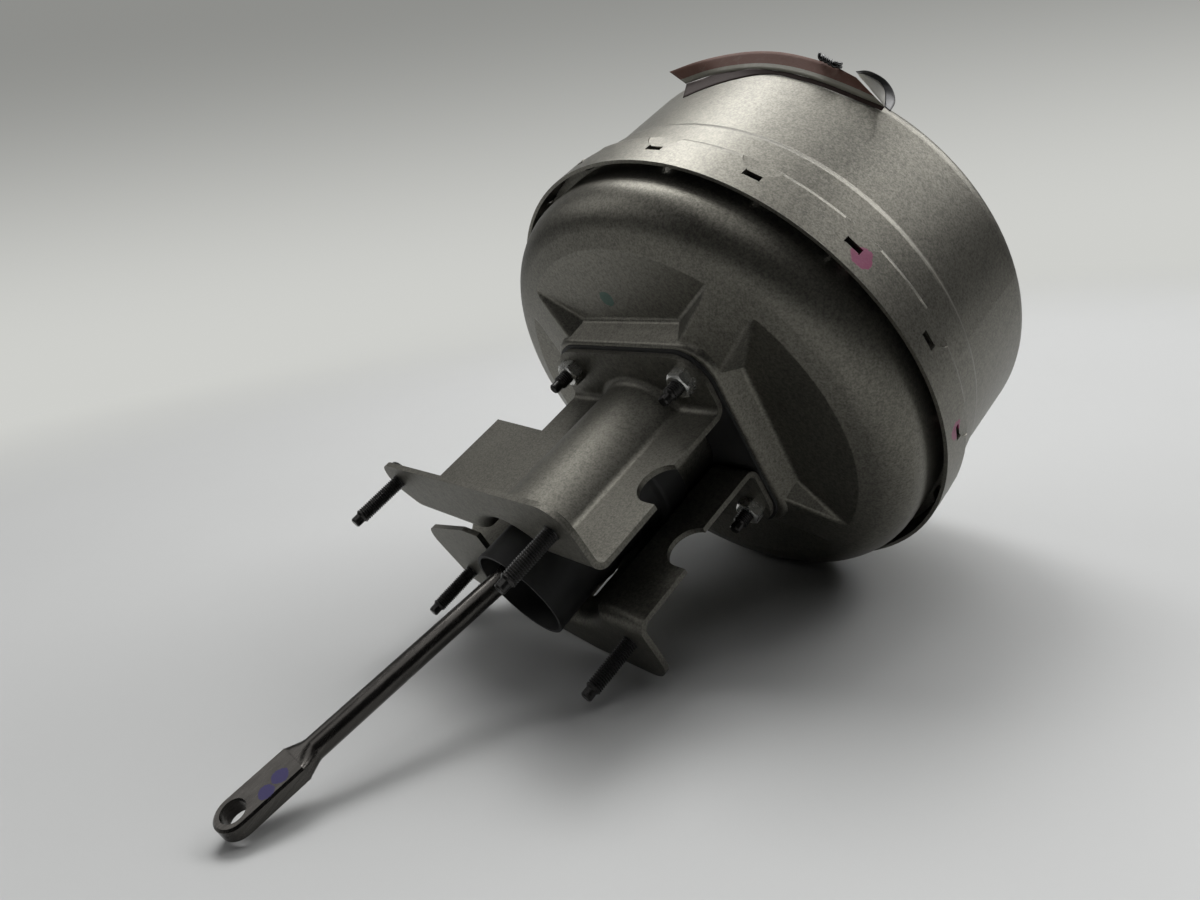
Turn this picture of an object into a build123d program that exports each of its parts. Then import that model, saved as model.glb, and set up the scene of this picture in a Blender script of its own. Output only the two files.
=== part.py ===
"""Vacuum brake booster with its firewall bracket and pedal push rod.

Frame, in millimetres: the origin is on the booster's axis in the plane that the
master cylinder seats on. +Y points forward, towards the master cylinder, and
+Z points up as the bracket sits on the firewall. The pedal is on the -Y side.
"""
import os
from math import cos, pi, radians, sin, tan

from build123d import *

# ---- driving dimensions: the two shells -------------------------------------
SHELL_T = 1.8              # pressed steel of both shells
RIM_R = 137.0              # outside of the crimped band
BAND_RISE = 4.4            # from the front shell's wall up to the band
STEP_RISE = 1.4            # the wall's own shallow step
REAR_INSET = 7.1           # from the band down to the rear shell's wall
RIM_REAR_Y = -112.0        # open edge of the crimped band
BAND_FRONT_Y = -91.5       # where the band drops to the wall
BAND_DROP = 3.6            # length of that drop
STEP_Y = -70.5
FRONT_FACE_Y = -8.0        # flat of the front shell, around the raised pad
PAD_R = 60.0               # raised pad under the master cylinder
SEAT_Y = -154.0            # face of the rear shell that the gasket lies on
SHOULDER_R = 20.7          # rounded shoulder of the rear shell
SHOULDER_Y = -117.9        # where the shoulder meets the straight wall
CONE_ANGLE = 18.0          # rise of the rear shell from its shoulder to the seat
POCKET_FLOOR_Y = -140.5    # the four pressed pockets
POCKET_DRAFT = 30.0
POCKET_BEND = 3.0
SEAT_HALF = 59.0           # half the square seat between the pockets
SEAT_CORNER_R = 18.0
SEAT_DRAFT = 20.0
LANCE_COUNT = 16
LANCE_PHASE = -12.1        # degrees from +X to the first lance
LANCE_Y = -100.5
LANCE_WIDTH = 9.0
LANCE_LENGTH = 4.6
SCALLOP_R = 11.0           # dip that each lance leaves in the band's front edge
SCALLOP_DEPTH = 1.0
FLANGE_JOINT_Y = -96.0     # front of the rear shell's rim flange

# ---- driving dimensions: mounts ---------------------------------------------
STUD_R = 4.0               # M8 everywhere
COLLAR_R = 4.4             # pressed collar of a stud, inside its sheet
STUD_HEAD_R = 8.0
STUD_HEAD_T = 2.5
CHECK_VALVE_AT = (-64.0, 62.0)
GROMMET_NECK_R = 9.0
NIPPLE_R = 4.0             # bead that the vacuum hose slides over
MASTER_STUD_X = 41.0
MASTER_STUD_OUT = 24.0
PILOT_R = 20.5
PILOT_DEPTH = 11.0
SEAL_CUP_R = 18.5          # narrower floor of the cup, for the front seal
CUP_DEPTH = 20.0
BOOSTER_STUD_XZ = 43.5     # four studs on a square
BOOSTER_STUD_OUT = 17.9    # past the bracket's flange
FIREWALL_Y = -261.0        # face of the bracket that meets the firewall
FIREWALL_X = -24.0         # centre of the firewall studs, from the axis
FIREWALL_Z = 6.0
FIREWALL_SPAN_X = 144.0
FIREWALL_SPAN_Z = 75.0
FIREWALL_STUD_OUT = 33.4
FIREWALL_HEAD_R = 10.0

# ---- driving dimensions: bracket and gasket ----------------------------------
BRACKET_T = 3.0
WING_LEFT_X = -105.0       # left edge of the wings, from the axis
UPPER_WING_Z = 24.0        # outside of the upper half's flat wings
LOWER_WING_Z = 17.5        # the same of the lower half, below the axis
WING_FRONT_LENGTH = 73.5   # of the wings' wide stretch, from the firewall
EAR_TO_CUT = 0.5           # from the left ear to the wings' corner cut
NOTCH_R = 12.2             # round notch in the wings' right edge
NOTCH_DEPTH = 18.7
NOTCH_IN = 53.0            # from the firewall face to the upper notch's middle
LOWER_NOTCH_IN = 49.0
CREASE_R = 5.0
FLANGE_BEND = 4.0          # inside of the bends to the flanges
TUNNEL_R = 38.0            # outside of the half round tunnel over the neck
DRAIN_WIDTH = 5.0          # slot in the lower tunnel
DRAIN_LENGTH = 22.0
DRAIN_IN = 27.0
LEFT_EAR_R = 11.5
RIGHT_EAR_R = 16.0
GASKET_T = 1.5
GASKET_HALF = 57.5
FLANGE_HALF = 56.0         # of the bracket's square flanges at the gasket
NECK_R = 31.0              # tail neck of the rear shell
NECK_LENGTH = 39.0

# ---- driving dimensions: stiffening plates -----------------------------------
REAR_PLATE_T = 2.0
REAR_PLATE_HALF = 55.0
REAR_PLATE_HOLE_R = 42.0
FRONT_PLATE_T = 2.5

# ---- driving dimensions: chambers and moving parts ---------------------------
PLATE_T = 1.5              # both piston plates
DIVIDER_T = 1.2
DIVIDER_Y = -101.0
DIVIDER_RIM_Y = -92.6
RUBBER_T = 1.8             # both diaphragms
REAR_PLATE_Y = -145.95     # rear piston plate's hub
FRONT_PLATE_Y = -96.2      # front piston plate's hub
HUB_R = 38.0               # flange of the valve body under the rear diaphragm
BODY_R = 27.0              # valve body where it runs in the divider
TAIL_R = 23.5              # valve body where it runs in the rear seal
TAIL_END_Y = -222.0
TAIL_BORE_R = 19.0
NOSE_R = 24.0              # valve body's nose, in front of its last step
NOSE_Y = -84.0
SEAL_R = 34.0              # collar of the divider
KEY_Y = -135.0
KEY_T = 3.5
KEY_THROAT = 5.6
PLUNGER_R = 8.6
PLUNGER_RIM_R = 11.5
PLUNGER_REAR_Y = -168.0
SPRING_BORE_R = 11.8
SPRING_FRONT_Y = -147.0
POPPET_Y = -168.0
RETAINER_Y = -191.0
DISC_R = 13.0
DISC_REAR_Y = -97.9
OUT_ROD_R = 6.5
BALL_Y = -159.5
BALL_R = 6.0
EYE_AT = (7.0, -420.7, 34.3)
EYE_HOLE_R = 5.5
EYE_WIDTH = 17.0
EYE_THICK = 8.5
EYE_ROLL = 12.0            # the eye is rolled this far from lying flat
ROD_R = 5.4
BOOT_END_Y = -275.0
BOOT_R = 26.0              # middle of the boot's sleeve at its open end
BOOT_T = 1.4
BOOT_RING_R = 26.9
BOOT_FOLD = 1.6            # rise of its shallow folds
BOOT_FOLDS = 2
COIL_STEPS = 12            # straight stretches in a turn of a spring

# ---- clearances --------------------------------------------------------------
RUN = 0.06                 # radial, sliding rubber and bearing fits
SEATED = 0.02              # between pieces that only touch
STUD_PLAY = 0.4            # round the booster studs in the bracket and gasket

# ---- worked out from them ----------------------------------------------------
FRONT_STEP_R = RIM_R - BAND_RISE
FRONT_WALL_R = FRONT_STEP_R - STEP_RISE
REAR_WALL_R = RIM_R - REAR_INSET
NECK_END_Y = SEAT_Y - NECK_LENGTH
SEAT_FLANGE_Y = SEAT_Y - GASKET_T - BRACKET_T
MASTER_STUDS = [(-MASTER_STUD_X, 0.0), (MASTER_STUD_X, 0.0)]
BOOSTER_STUDS = [(x, z) for z in (BOOSTER_STUD_XZ, -BOOSTER_STUD_XZ)
                 for x in (-BOOSTER_STUD_XZ, BOOSTER_STUD_XZ)]
WING_RIGHT_X = FIREWALL_X + FIREWALL_SPAN_X / 2 + RIGHT_EAR_R
CORNER_X = FIREWALL_X - FIREWALL_SPAN_X / 2 + LEFT_EAR_R + EAR_TO_CUT
FIREWALL_STUDS = [(FIREWALL_X + i * FIREWALL_SPAN_X / 2, FIREWALL_Z + k * FIREWALL_SPAN_Z / 2)
                  for k in (1, -1) for i in (-1, 1)]


# ---- shared shapes -----------------------------------------------------------
def rounded_path(points, radii):
    """Edges of a line through the points, bent at each inner point that has a radius."""
    corners = [Vector(*point) for point in points]
    edges = []
    start = corners[0]
    for before, corner, after, radius in zip(corners, corners[1:], corners[2:], radii):
        if radius <= 0:
            edges.append(Line(start, corner))
            start = corner
            continue
        back = (before - corner).normalized()
        ahead = (after - corner).normalized()
        half = radians(back.get_angle(ahead)) / 2
        bend_in = corner + back * (radius / tan(half))
        bend_out = corner + ahead * (radius / tan(half))
        centre = corner + (back + ahead).normalized() * (radius / sin(half))
        middle = centre + (corner - centre).normalized() * radius
        edges += [Line(start, bend_in), ThreePointArc(bend_in, middle, bend_out)]
        start = bend_out
    edges.append(Line(start, corners[-1]))
    return edges


def turned(points):
    """A solid turned about the axis, from (radius, y) points."""
    return revolve(make_face(Polyline(*points, close=True)), axis=Axis.Y)


def ring(inner, outer, rear, front):
    """A plain ring between two radii and two axial stations."""
    return turned([(inner, rear), (outer, rear), (outer, front), (inner, front)])


def disc(radius, rear, front):
    """A plain round plate on the axis."""
    return along_y(Circle(radius), rear, front)


def along_y(sketch, rear, front):
    """Extrude a sketch drawn in X and Z from one axial station to another."""
    plane = Plane(origin=(0, rear, 0), x_dir=(1, 0, 0), z_dir=(0, -1, 0))
    return extrude(plane * sketch, amount=-(front - rear))


def pressed(points, thickness, radii=None):
    """Sheet of even thickness turned about the axis, along its middle line.

    Each inner point can have a bend radius on that line, and is a plain fold without one.
    """
    corners = [Vector(*point) for point in points]
    headings = [(after - before).normalized() for before, after in zip(corners, corners[1:])]
    bends = [0.0] + list(radii or [0.0] * (len(corners) - 2)) + [0.0]
    left, right, left_bends, right_bends = [], [], [], []
    for corner, arriving, leaving, bend in zip(corners, headings[:1] + headings,
                                               headings + headings[-1:], bends):
        across = Vector(-arriving.Y - leaving.Y, arriving.X + leaving.X)
        mitre = across * (thickness / across.dot(across))
        left.append(corner + mitre)
        right.append(corner - mitre)
        inward = thickness / 2 if arriving.X * leaving.Y > arriving.Y * leaving.X else -thickness / 2
        left_bends.append(bend - inward if bend else 0.0)
        right_bends.append(bend + inward if bend else 0.0)
    outline = rounded_path(left, left_bends[1:-1])
    outline.append(Line(left[-1], right[-1]))
    outline += rounded_path(right[::-1], right_bends[-2:0:-1])
    outline.append(Line(right[0], left[0]))
    return revolve(make_face(outline), axis=Axis.Y)


def around(solid, count, phase=0.0):
    """Copies of a solid, evenly spaced about the axis."""
    return [solid.rotate(Axis.Y, -(phase + i * 360.0 / count)) for i in range(count)]


def coil(mean_r, wire_r, rear, front, turns):
    """A helical spring on the axis, its wire drawn with six sides."""
    count = round(turns * COIL_STEPS)
    rise = (front - rear - 2 * wire_r) / count
    advance = 2 * pi * mean_r / COIL_STEPS
    sections = []
    for i in range(count + 1):
        angle = 2 * pi * i / COIL_STEPS
        out = Vector(cos(angle), 0, sin(angle))
        at = out * mean_r + Vector(0, rear + wire_r + rise * i, 0)
        along = Vector(-sin(angle) * advance, rise, cos(angle) * advance)
        sections.append(Plane(origin=at, x_dir=out, z_dir=along) * RegularPolygon(wire_r, 6))
    return loft(sections, ruled=True)


def holes(places, radius, rear, front):
    """Straight round holes along the axis direction at (x, z) places."""
    return [along_y(Pos(x, z) * Circle(radius), rear, front) for x, z in places]


# ---- shells ------------------------------------------------------------------
def lance_tab():
    """One sheared tab, bent in from the band behind the rear shell's flange."""
    root = RIM_R - SHELL_T
    rear = LANCE_Y - LANCE_LENGTH / 2
    lip = FLANGE_JOINT_Y - SHELL_T - 0.35
    points = [(root + 1.4, rear - 0.8), (root + 0.2, rear - 0.8), (root - 4.0, lip - 0.2),
              (root - 2.5, lip), (root + 1.4, rear + 0.7)]
    return extrude(make_face(Polyline(*points, close=True)), amount=LANCE_WIDTH / 2 - 0.6, both=True)


def lance_cut():
    """The window of a tab and the dip that it leaves in the band's front edge."""
    window = Pos(RIM_R, LANCE_Y, 0) * Box(8.0, LANCE_LENGTH, LANCE_WIDTH)
    floor = Plane(origin=(RIM_R - SCALLOP_DEPTH, LANCE_Y + SCALLOP_R + 1.5, 0), z_dir=(1, 0, 0))
    return window + extrude(floor * Circle(SCALLOP_R), amount=10.0, taper=-20.0)


def front_shell():
    """Deep drawn front shell with its crimped band, pad and cup for the seal."""
    half = SHELL_T / 2
    band = RIM_R - half
    step = FRONT_STEP_R - half
    wall = FRONT_WALL_R - half
    face = FRONT_FACE_Y - half
    cup = PILOT_R + half
    points = [(band, RIM_REAR_Y), (band, BAND_FRONT_Y), (step, BAND_FRONT_Y + BAND_DROP),
              (step, STEP_Y - 1.5), (wall, STEP_Y + 1.5), (wall, face), (PAD_R + 6.0, face),
              (PAD_R, -half), (cup, -half),
              (cup, -PILOT_DEPTH - 1.2), (SEAL_CUP_R + half, -PILOT_DEPTH - 2.4),
              (SEAL_CUP_R + half, -CUP_DEPTH - half), (OUT_ROD_R + 2.5, -CUP_DEPTH - half)]
    shell = pressed(points, SHELL_T, [3.0, 2.0, 3.0, 3.0, 10.0, 2.5, 2.5, 2.5, 0.0, 0.0, 0.0])
    for cut in around(lance_cut(), LANCE_COUNT, LANCE_PHASE):
        shell -= cut
    for tab in around(lance_tab(), LANCE_COUNT, LANCE_PHASE):
        shell += tab
    for hole in holes(MASTER_STUDS, COLLAR_R + SEATED, -6.0, 2.0):
        shell -= hole
    return shell - holes([CHECK_VALVE_AT], GROMMET_NECK_R, -14.0, 0.0)[0]


def rear_form(inset):
    """The rear shell as a solid form: its outside, or its inside one sheet further in."""
    middle = REAR_WALL_R - SHOULDER_R
    bend = SHOULDER_R - inset
    rise = radians(90.0 - CONE_ANGLE)
    half_rise = rise / 2
    slope = tan(radians(CONE_ANGLE))
    seat = SEAT_Y + inset
    wall = middle + bend
    bend_mid = (middle + bend * cos(half_rise), SHOULDER_Y - bend * sin(half_rise))
    bend_end = (middle + bend * cos(rise), SHOULDER_Y - bend * sin(rise))
    seat_r = bend_end[0] - (bend_end[1] - seat) / slope
    outline = [Line((0, seat), (0, FLANGE_JOINT_Y)), Line((0, FLANGE_JOINT_Y), (wall, FLANGE_JOINT_Y)),
               Line((wall, FLANGE_JOINT_Y), (wall, SHOULDER_Y)),
               ThreePointArc((wall, SHOULDER_Y), bend_mid, bend_end),
               Line(bend_end, (seat_r, seat)), Line((seat_r, seat), (0, seat))]
    form = revolve(make_face(outline), axis=Axis.Y)
    spread = 1.8 * inset / cos(radians(POCKET_DRAFT))
    outer = REAR_WALL_R - 1.4
    wedge = [(-8.5 - spread, SEAT_HALF - 14.0), (8.5 + spread, SEAT_HALF - 14.0),
             (outer + spread, REAR_WALL_R - 4.9), (-outer - spread, REAR_WALL_R - 4.9)]
    floor_y = POCKET_FLOOR_Y + inset
    floor = Plane(origin=(0, floor_y, 0), x_dir=(1, 0, 0), z_dir=(0, -1, 0))
    pocket = extrude(floor * make_face(Polyline(*wedge, close=True)), amount=24.0, taper=-POCKET_DRAFT)
    for cut in around(pocket, 4):
        form -= cut
    side = 2 * (SEAT_HALF - inset)
    seat_plane = Plane(origin=(0, seat, 0), x_dir=(1, 0, 0), z_dir=(0, 1, 0))
    form += extrude(seat_plane * RectangleRounded(side, side, SEAT_CORNER_R), amount=18.0, taper=-SEAT_DRAFT)
    valleys = [edge for edge in form.edges().filter_by(GeomType.LINE) if abs((edge @ 0.5).Y - floor_y) < 0.01]
    form = fillet(valleys, POCKET_BEND)
    ridges = [edge for edge in form.edges().filter_by(GeomType.BSPLINE)
              if edge.length > SEAT_HALF / 2 and abs((edge @ 0.0).Y - (edge @ 1.0).Y) > 4.0]
    ridges += form.edges().filter_by_position(Axis.Y, seat - 0.01, seat + 0.01)
    return fillet(ridges, POCKET_BEND - inset / 1.5)


def rear_shell():
    """Rear shell: rim flange, shoulder, four pockets, square seat and tail neck."""
    shell = rear_form(0.0) - rear_form(SHELL_T)
    shell += ring(REAR_WALL_R - SHELL_T, RIM_R - SHELL_T - 0.5, FLANGE_JOINT_Y - SHELL_T, FLANGE_JOINT_Y)
    shell -= disc(NECK_R - SHELL_T, SEAT_Y - 5.0, SEAT_Y + 5.0)
    mid = NECK_R - SHELL_T / 2
    neck = [(mid, SEAT_Y + SHELL_T), (mid, NECK_END_Y), (TAIL_R + 0.9, NECK_END_Y)]
    shell += pressed(neck, SHELL_T, [3.0])
    for hole in holes(BOOSTER_STUDS, COLLAR_R + SEATED, SEAT_Y - 5.0, SEAT_Y + 5.0):
        shell -= hole
    return shell


def gasket():
    """Rubber gasket between the rear shell's seat and both bracket halves."""
    side = 2 * GASKET_HALF
    outline = RectangleRounded(side, side, SEAT_CORNER_R + 1.0) - Circle(NECK_R + 0.5)
    sheet = along_y(outline, SEAT_Y - GASKET_T, SEAT_Y)
    for hole in holes(BOOSTER_STUDS, STUD_R + STUD_PLAY, SEAT_Y - 5.0, SEAT_Y + 5.0):
        sheet -= hole
    return sheet


def rear_plate():
    """Stiffening plate inside the rear shell that carries its four studs."""
    rear = SEAT_Y + SHELL_T
    side = 2 * REAR_PLATE_HALF
    plate = along_y(RectangleRounded(side, side, SEAT_CORNER_R - 2.0) - Circle(REAR_PLATE_HOLE_R),
                    rear, rear + REAR_PLATE_T)
    for hole in holes(BOOSTER_STUDS, COLLAR_R + SEATED, SEAT_Y, rear + REAR_PLATE_T + 1.0):
        plate -= hole
    return plate


def front_plate():
    """Stiffening ring inside the front shell that carries the two master cylinder studs."""
    plate = ring(PILOT_R + SHELL_T + 1.7, PAD_R - 5.0, -SHELL_T - FRONT_PLATE_T, -SHELL_T)
    for hole in holes(MASTER_STUDS, COLLAR_R + SEATED, -6.0, 2.0):
        plate -= hole
    return plate


def stud(at, head_r, head_y, face_y, tip_y):
    """A pressed stud on (x, z): flat head, collar up to the sheet's face, and a dog point."""
    out = 1.0 if tip_y > head_y else -1.0
    face = abs(face_y - head_y)
    length = abs(tip_y - head_y)
    profile = [(0, 0), (head_r, 0), (head_r, STUD_HEAD_T), (COLLAR_R, STUD_HEAD_T), (COLLAR_R, face),
               (STUD_R, face), (STUD_R, length - 5.4), (STUD_R - 1.1, length - 4.4),
               (STUD_R - 1.1, length - 0.6), (STUD_R - 1.6, length), (0, length)]
    shape = revolve(make_face(Polyline(*[(r, out * y) for r, y in profile], close=True)), axis=Axis.Y)
    return Pos(at[0], head_y, at[1]) * shape


def hex_nut(at, seat_y, across, height):
    """A hexagon nut seated on a face at seat_y, standing towards -Y."""
    body = along_y(RegularPolygon(across / 2, 6, major_radius=False), seat_y - height, seat_y)
    corner = across / 2 * 1.155
    cone = turned([(0, seat_y), (corner, seat_y), (corner, seat_y - height + 1.1),
                   (corner - 1.6, seat_y - height), (0, seat_y - height)])
    nut = (body & cone) - disc(STUD_R + SEATED, seat_y - height - 1.0, seat_y + 1.0)
    return Pos(at[0], 0, at[1]) * nut


# ---- bracket -----------------------------------------------------------------
def wing_section(wing_z):
    """Cross-section of the tunnel and its two flat wings, in X and Z."""
    inner = TUNNEL_R - BRACKET_T
    middle = (WING_LEFT_X + WING_RIGHT_X) / 2
    band = Pos(middle, wing_z - BRACKET_T / 2) * Rectangle(WING_RIGHT_X - WING_LEFT_X, BRACKET_T)
    above = Pos(0, wing_z - BRACKET_T + TUNNEL_R) * Rectangle(3 * TUNNEL_R, 2 * TUNNEL_R)
    arch = (Circle(TUNNEL_R) - Circle(inner)) & above
    section = band - Circle(inner) + arch
    crease = (TUNNEL_R ** 2 - wing_z ** 2) ** 0.5
    corners = [v for v in section.vertices() if abs(abs(v.X) - crease) < 0.2 and abs(v.Y - wing_z) < 0.2]
    return fillet(corners, CREASE_R)


def wing_plan(notch_in):
    """Plan outline of the wings: wide at the firewall, a narrow neck at the booster."""
    left = WING_LEFT_X
    right = WING_RIGHT_X
    front = SEAT_FLANGE_Y + BRACKET_T
    wide_end = FIREWALL_Y + WING_FRONT_LENGTH
    notch_y = FIREWALL_Y + notch_in
    points = [(CORNER_X, FIREWALL_Y), (right, FIREWALL_Y), (right, notch_y), (FLANGE_HALF, notch_y),
              (FLANGE_HALF, front), (-FLANGE_HALF, front), (-FLANGE_HALF, wide_end - 2.5), (left, wide_end),
              (left, FIREWALL_Y + CORNER_X - left)]
    plan = make_face(Polyline(*points, close=True))
    middle = right - NOTCH_DEPTH + NOTCH_R
    reach = right + 6.0 - middle
    return plan - (Pos(middle, notch_y) * Circle(NOTCH_R)
                   + Pos(middle + reach / 2, notch_y) * Rectangle(reach, 2 * NOTCH_R))


def bend(half, face_y, wing_z, tunnel_r, radius):
    """Round the edges that the wings and the tunnel make in the plane of a flange's face."""
    edges = []
    for edge in half.edges().filter_by_position(Axis.Y, face_y - 0.01, face_y + 0.01):
        middle = edge @ 0.5
        level = abs(middle.Z - wing_z) < 1.5 and abs((edge % 0.5).X) > 0.99
        if level or abs((middle.X ** 2 + middle.Z ** 2) ** 0.5 - tunnel_r) < 1.5:
            edges.append(edge)
    return fillet(edges, radius)


def bracket_half(wing_z, notch_in, flange):
    """One pressed half of the bracket, built with its tunnel towards +Z."""
    front = SEAT_FLANGE_Y + BRACKET_T
    inner = TUNNEL_R - BRACKET_T
    inside_z = wing_z - BRACKET_T
    half = along_y(wing_section(wing_z), FIREWALL_Y, front)
    half &= extrude(wing_plan(notch_in), amount=2 * TUNNEL_R)
    side = 2 * FLANGE_HALF
    beyond = Pos(0, inside_z + FLANGE_HALF) * Rectangle(side + 10.0, side)
    seat = RectangleRounded(side, side, SEAT_CORNER_R) & beyond
    half += along_y(seat - Circle(inner), SEAT_FLANGE_Y, front)
    half += along_y(flange - Circle(inner), FIREWALL_Y, FIREWALL_Y + BRACKET_T)
    for outer_y, inner_y in ((SEAT_FLANGE_Y, front), (FIREWALL_Y + BRACKET_T, FIREWALL_Y)):
        half = bend(half, outer_y, wing_z, TUNNEL_R, FLANGE_BEND)
        half = bend(half, inner_y, inside_z, inner, FLANGE_BEND + BRACKET_T)
    for hole in holes([place for place in BOOSTER_STUDS if place[1] > 0], STUD_R + STUD_PLAY,
                      SEAT_FLANGE_Y - 5.0, front + 5.0):
        half -= hole
    return half


def flange_foot(wing_z, height):
    """Foot of a firewall flange, standing on the inside of the wings between their corner and edge."""
    middle = (CORNER_X + WING_RIGHT_X) / 2
    return Pos(middle, wing_z - BRACKET_T + height / 2) * Rectangle(WING_RIGHT_X - CORNER_X, height)


def bracket_upper():
    """Upper bracket half: two booster studs pass it and it carries two firewall studs."""
    left, right = [place for place in FIREWALL_STUDS if place[1] > 0]
    outline = Pos(*left) * Circle(LEFT_EAR_R) + Pos(*right) * Circle(RIGHT_EAR_R)
    outline += flange_foot(UPPER_WING_Z, BRACKET_T)
    half = bracket_half(UPPER_WING_Z, NOTCH_IN, make_hull(outline.edges()))
    for hole in holes([left, right], COLLAR_R + SEATED, FIREWALL_Y - 5.0, FIREWALL_Y + 8.0):
        half -= hole
    return half


def bracket_lower():
    """Lower bracket half: a broad plate on the left, a deep ear on the right and a drain slot."""
    left, right = [(x, -z) for x, z in FIREWALL_STUDS if z < 0]
    left_ear = Pos(*left) * Circle(LEFT_EAR_R + 1.5)
    right_ear = Pos(right[0] - 1.5, right[1] + 7.5) * Circle(RIGHT_EAR_R + 1.5)
    toe = Pos(right[0] - 44.0, right[1] + 18.5) * Circle(7.0)
    heel = Pos(left[0] + 2.0, left[1] + 4.5) * Circle(LEFT_EAR_R - 3.5)
    outline = flange_foot(LOWER_WING_Z, BRACKET_T) + right_ear + toe + heel
    half = bracket_half(LOWER_WING_Z, LOWER_NOTCH_IN, make_hull(outline.edges()))
    plate = left_ear + Pos(left[0] - 5.0, left[1] - 22.5) * Circle(LEFT_EAR_R + 1.5)
    plate += Pos(-TUNNEL_R - 14.0, left[1] - 16.5) * Rectangle(16.0, 58.0)
    half += along_y(make_hull(plate.edges()), FIREWALL_Y, FIREWALL_Y + BRACKET_T)
    for hole in holes([left, right], COLLAR_R + SEATED, FIREWALL_Y - 5.0, FIREWALL_Y + 8.0):
        half -= hole
    slot = Pos(0, FIREWALL_Y + DRAIN_IN) * SlotOverall(DRAIN_LENGTH, DRAIN_WIDTH, rotation=90)
    return mirror(half - extrude(slot, amount=2 * TUNNEL_R), about=Plane.XY)


# ---- vacuum chambers ---------------------------------------------------------
def divider():
    """Fixed plate between the two vacuum chambers, clamped at the rim."""
    collar = SEAL_R - DIVIDER_T / 2
    points = [(collar, DIVIDER_Y - 5.6), (collar, DIVIDER_Y), (RIM_R - 43.0, DIVIDER_Y),
              (RIM_R - 37.0, DIVIDER_RIM_Y), (RIM_R - SHELL_T - 0.6, DIVIDER_RIM_Y)]
    return pressed(points, DIVIDER_T)


def divider_seal():
    """Bearing seal in the divider that the valve body slides through."""
    return ring(BODY_R + RUN, SEAL_R - DIVIDER_T - RUN, DIVIDER_Y - 6.0, DIVIDER_Y + 1.6)


def rear_piston_plate():
    """Steel plate that carries the rear diaphragm's push to the valve body."""
    dish = REAR_PLATE_Y + 11.95
    points = [(BODY_R + 0.1, REAR_PLATE_Y), (BODY_R + 15.0, REAR_PLATE_Y), (BODY_R + 25.0, dish),
              (RIM_R - 41.0, dish), (RIM_R - 34.0, dish + 10.0)]
    return pressed(points, PLATE_T, [3.0, 3.0, 5.0])


def front_piston_plate():
    """Steel plate behind the front chamber, seated on the valve body's step."""
    points = [(NOSE_R + 0.1, FRONT_PLATE_Y), (RIM_R - 53.0, FRONT_PLATE_Y),
              (RIM_R - 46.0, FRONT_PLATE_Y + 10.2)]
    return pressed(points, PLATE_T, [5.0])


def rear_diaphragm():
    """Rubber diaphragm behind the rear plate, rolled outside it and beaded at the rim."""
    under = REAR_PLATE_Y - (PLATE_T + RUBBER_T) / 2 - 0.1
    rim = REAR_WALL_R - 4.3
    dish = under + 11.95
    joint = DIVIDER_RIM_Y - DIVIDER_T / 2 - SEATED
    points = [(HUB_R + 2.0, under), (BODY_R + 17.4, under), (BODY_R + 26.6, dish), (RIM_R - 39.5, dish),
              (REAR_WALL_R - 23.9, dish + 12.8), (REAR_WALL_R - 20.9, dish + 22.8),
              (REAR_WALL_R - 11.9, dish + 26.8), (rim, dish + 30.8), (rim, joint - 1.4),
              (rim + 5.4, joint - 1.4)]
    hub = ring(HUB_R + 0.3, HUB_R + 3.0, REAR_PLATE_Y - 4.05, REAR_PLATE_Y - PLATE_T / 2 - 0.05)
    bead = ring(rim + 2.9, RIM_R - SHELL_T - 1.2, FLANGE_JOINT_Y + SEATED, joint)
    return pressed(points, RUBBER_T) + hub + bead


def front_diaphragm():
    """Rubber diaphragm behind the front plate, rolled forward of the divider."""
    under = FRONT_PLATE_Y - (PLATE_T + RUBBER_T) / 2 - 0.05
    rim = RIM_R - 8.5
    joint = DIVIDER_RIM_Y + DIVIDER_T / 2 + SEATED
    points = [(BODY_R + 2.0, under), (RIM_R - 51.8, under), (RIM_R - 43.4, under + 11.4),
              (RIM_R - 38.0, under + 19.85), (RIM_R - 27.0, under + 21.85), (RIM_R - 19.0, under + 13.85),
              (rim + 1.5, joint + 1.3)]
    return pressed(points, RUBBER_T) + ring(rim, rim + 4.0, joint, joint + 2.2)


# ---- valve body and what it carries ------------------------------------------
def valve_body():
    """Moulded valve body: tail, plunger bore, key slot, plate seats and nose."""
    step = REAR_PLATE_Y - PLATE_T / 2 - 0.05
    nose_step = FRONT_PLATE_Y - PLATE_T / 2 - 0.05
    outside = turned([(0, TAIL_END_Y), (TAIL_R - 1.0, TAIL_END_Y), (TAIL_R, TAIL_END_Y + 1.0),
                      (TAIL_R, step - 5.4), (HUB_R, step - 5.4), (HUB_R, step - 0.3), (HUB_R - 2.0, step),
                      (BODY_R, step), (BODY_R, nose_step), (NOSE_R, nose_step), (NOSE_R, NOSE_Y - 0.8),
                      (NOSE_R - 0.8, NOSE_Y), (0, NOSE_Y)])
    run = PLUNGER_R + RUN
    cup = DISC_R + 0.1
    bore = turned([(0, TAIL_END_Y - 1.0), (TAIL_BORE_R, TAIL_END_Y - 1.0), (TAIL_BORE_R, POPPET_Y),
                   (SPRING_BORE_R, POPPET_Y), (SPRING_BORE_R, SPRING_FRONT_Y), (run, SPRING_FRONT_Y),
                   (run, DISC_REAR_Y - 0.1), (cup, DISC_REAR_Y - 0.1), (cup, NOSE_Y + 1.0),
                   (0, NOSE_Y + 1.0)])
    slot = Pos(BODY_R - KEY_T - 9.5, KEY_Y, 0) * Box(72.6, KEY_T + 0.4, 22.4)
    body = outside - bore - slot
    for port in around(Pos(TAIL_R - 2.5, KEY_Y + 9.0, 0) * Box(6.0, 64.0, 7.0), 2, 90.0):
        body -= port
    return body


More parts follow.
